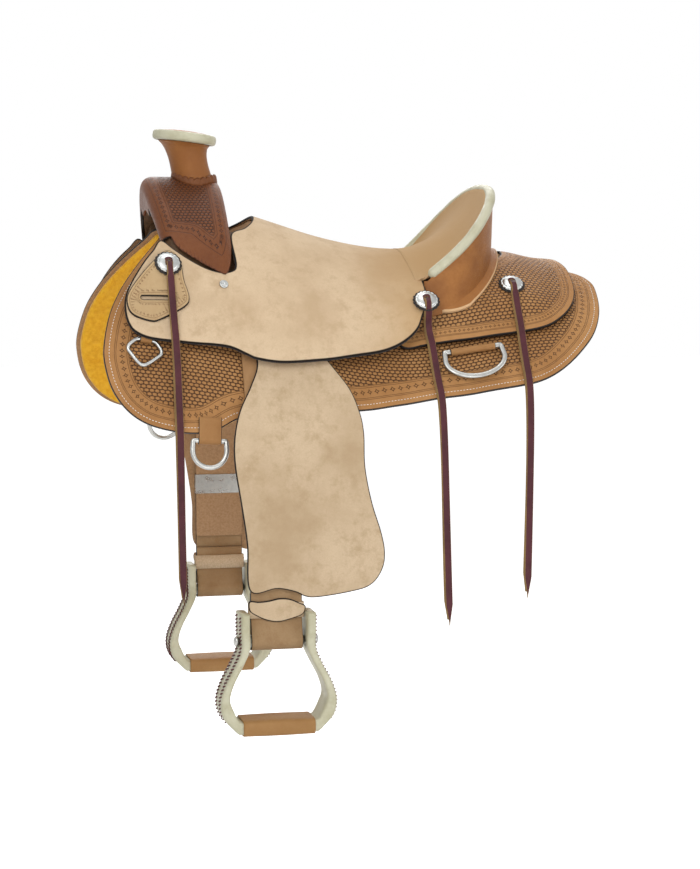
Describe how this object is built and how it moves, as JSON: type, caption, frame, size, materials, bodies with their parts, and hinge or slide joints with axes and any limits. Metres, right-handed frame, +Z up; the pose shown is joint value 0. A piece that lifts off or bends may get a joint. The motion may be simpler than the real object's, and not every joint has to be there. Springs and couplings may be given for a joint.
{
  "type": "wade saddle",
  "caption": "Western wade roping saddle with suede seat, tooled skirts, fenders, rawhide stirrups, dees, conchos and hanging strings.",
  "frame": {"origin": "on the spine line under the middle of the seat, where the horse's back carries the saddle", "axes": "-X towards the horn, +X towards the cantle, -Y the near side, +Z up"},
  "size_m": [0.7457, 0.5228, 0.8469],
  "materials": {
    "saddle_leather": "tooled skirting leather",
    "seat_suede": "roughout",
    "natural_leather": "smooth skirting leather",
    "dark_leather": "tooled, oiled dark",
    "burgundy_leather": "latigo strings",
    "fleece": "felted wool",
    "rawhide": "rawhide",
    "silver": "engraved nickel silver",
    "steel": "stainless steel"
  },
  "bodies": {
    "saddle": {"breast_tab_near": "saddle_leather", "breast_tab_off": "saddle_leather", "cantle_back": "natural_leather", "cantle_binding": "rawhide", "cantle_facing": "seat_suede", "concho_front_near": "silver", "concho_front_off": "silver", "concho_mid_near": "silver", "concho_mid_off": "silver", "concho_rear_near": "silver", "concho_rear_off": "silver", "fork_cover": "dark_leather", "front_rigging_near": "saddle_leather", "front_rigging_off": "saddle_leather", "ground_seat": "saddle_leather", "horn_binding": "rawhide", "horn_cap": "natural_leather", "horn_wrap": "natural_leather", "lining_near": "fleece", "lining_off": "fleece", "rear_jockey_near": "saddle_leather", "rear_jockey_off": "saddle_leather", "rear_rigging_near": "saddle_leather", "rear_rigging_off": "saddle_leather", "rope_tab_near": "natural_leather", "rope_tab_off": "natural_leather", "seat_leather": "seat_suede", "seat_screw_near": "silver", "seat_screw_off": "silver", "skirt_near": "saddle_leather", "skirt_off": "saddle_leather", "string_front_near": "burgundy_leather", "string_mid_near": "burgundy_leather", "string_rear_near": "burgundy_leather", "tree_bar_near": "rawhide", "tree_bar_off": "rawhide", "tree_cantle": "rawhide", "tree_fork": "rawhide"},
    "leathers_near": {"fender_near": "seat_suede", "stirrup_leather_near": "natural_leather"},
    "stirrup_loop_near": {"leather_loop_near": "natural_leather", "leather_buckle_near": "steel", "hobble_strap_near": "seat_suede", "stirrup_bolt_near": "steel"},
    "stirrup_frame_near": {"stirrup_near": "rawhide", "tread_near": "natural_leather"},
    "front_ring_near": {"front_dee_near": "steel"},
    "rear_ring_near": {"rear_dee_near": "steel"},
    "breast_ring_near": {"breast_dee_near": "steel"},
    "leathers_off": {"fender_off": "seat_suede", "stirrup_leather_off": "natural_leather"},
    "stirrup_loop_off": {"leather_loop_off": "natural_leather", "leather_buckle_off": "steel", "hobble_strap_off": "seat_suede", "stirrup_bolt_off": "steel"},
    "stirrup_frame_off": {"stirrup_off": "rawhide", "tread_off": "natural_leather"},
    "front_ring_off": {"front_dee_off": "steel"},
    "rear_ring_off": {"rear_dee_off": "steel"},
    "breast_ring_off": {"breast_dee_off": "steel"}
  },
  "joints": [
    {"name": "leathers_swing_near", "type": "hinge", "parent": "saddle", "child": "leathers_near", "pos_m": [-0.16, -0.1447, -0.02251], "axis": [0, -0.9234, 0.3839], "range_deg": [-9, 20]},
    {"name": "stirrup_length_near", "type": "slide", "parent": "leathers_near", "child": "stirrup_loop_near", "axis": [0, 0, -1], "range_m": [0, 0.075]},
    {"name": "stirrup_pivot_near", "type": "hinge", "parent": "stirrup_loop_near", "child": "stirrup_frame_near", "pos_m": [-0.16, -0.23305, -0.48343], "axis": [1, 0, 0], "range_deg": [-40, 40]},
    {"name": "rear_dee_near_lift", "type": "hinge", "parent": "saddle", "child": "rear_ring_near", "pos_m": [0.141, -0.17206, -0.08328], "axis": [-0.9881, 0.0758, -0.1339], "range_deg": [0, 70]},
    {"name": "front_dee_near_lift", "type": "hinge", "parent": "saddle", "child": "front_ring_near", "pos_m": [-0.248, -0.20846, -0.20381], "axis": [-0.9982, 0.0373, 0.0465], "range_deg": [0, 60]},
    {"name": "breast_dee_near_lift", "type": "hinge", "parent": "saddle", "child": "breast_ring_near", "pos_m": [-0.33, -0.16816, -0.06481], "axis": [-0.9814, 0.0612, 0.1822], "range_deg": [0, 65]},
    {"name": "leathers_swing_off", "type": "hinge", "parent": "saddle", "child": "leathers_off", "pos_m": [-0.16, 0.1447, -0.02251], "axis": [0, -0.9234, -0.3839], "range_deg": [-9, 20]},
    {"name": "stirrup_length_off", "type": "slide", "parent": "leathers_off", "child": "stirrup_loop_off", "axis": [0, 0, -1], "range_m": [0, 0.075]},
    {"name": "stirrup_pivot_off", "type": "hinge", "parent": "stirrup_loop_off", "child": "stirrup_frame_off", "pos_m": [-0.16, 0.23305, -0.48343], "axis": [-1, 0, 0], "range_deg": [-40, 40]},
    {"name": "rear_dee_off_lift", "type": "hinge", "parent": "saddle", "child": "rear_ring_off", "pos_m": [0.141, 0.17206, -0.08328], "axis": [0.9881, 0.0758, 0.1339], "range_deg": [0, 70]},
    {"name": "front_dee_off_lift", "type": "hinge", "parent": "saddle", "child": "front_ring_off", "pos_m": [-0.248, 0.20846, -0.20381], "axis": [0.9982, 0.0373, -0.0465], "range_deg": [0, 60]},
    {"name": "breast_dee_off_lift", "type": "hinge", "parent": "saddle", "child": "breast_ring_off", "pos_m": [-0.33, 0.16816, -0.06481], "axis": [0.9814, 0.0612, -0.1822], "range_deg": [0, 65]}
  ]
}
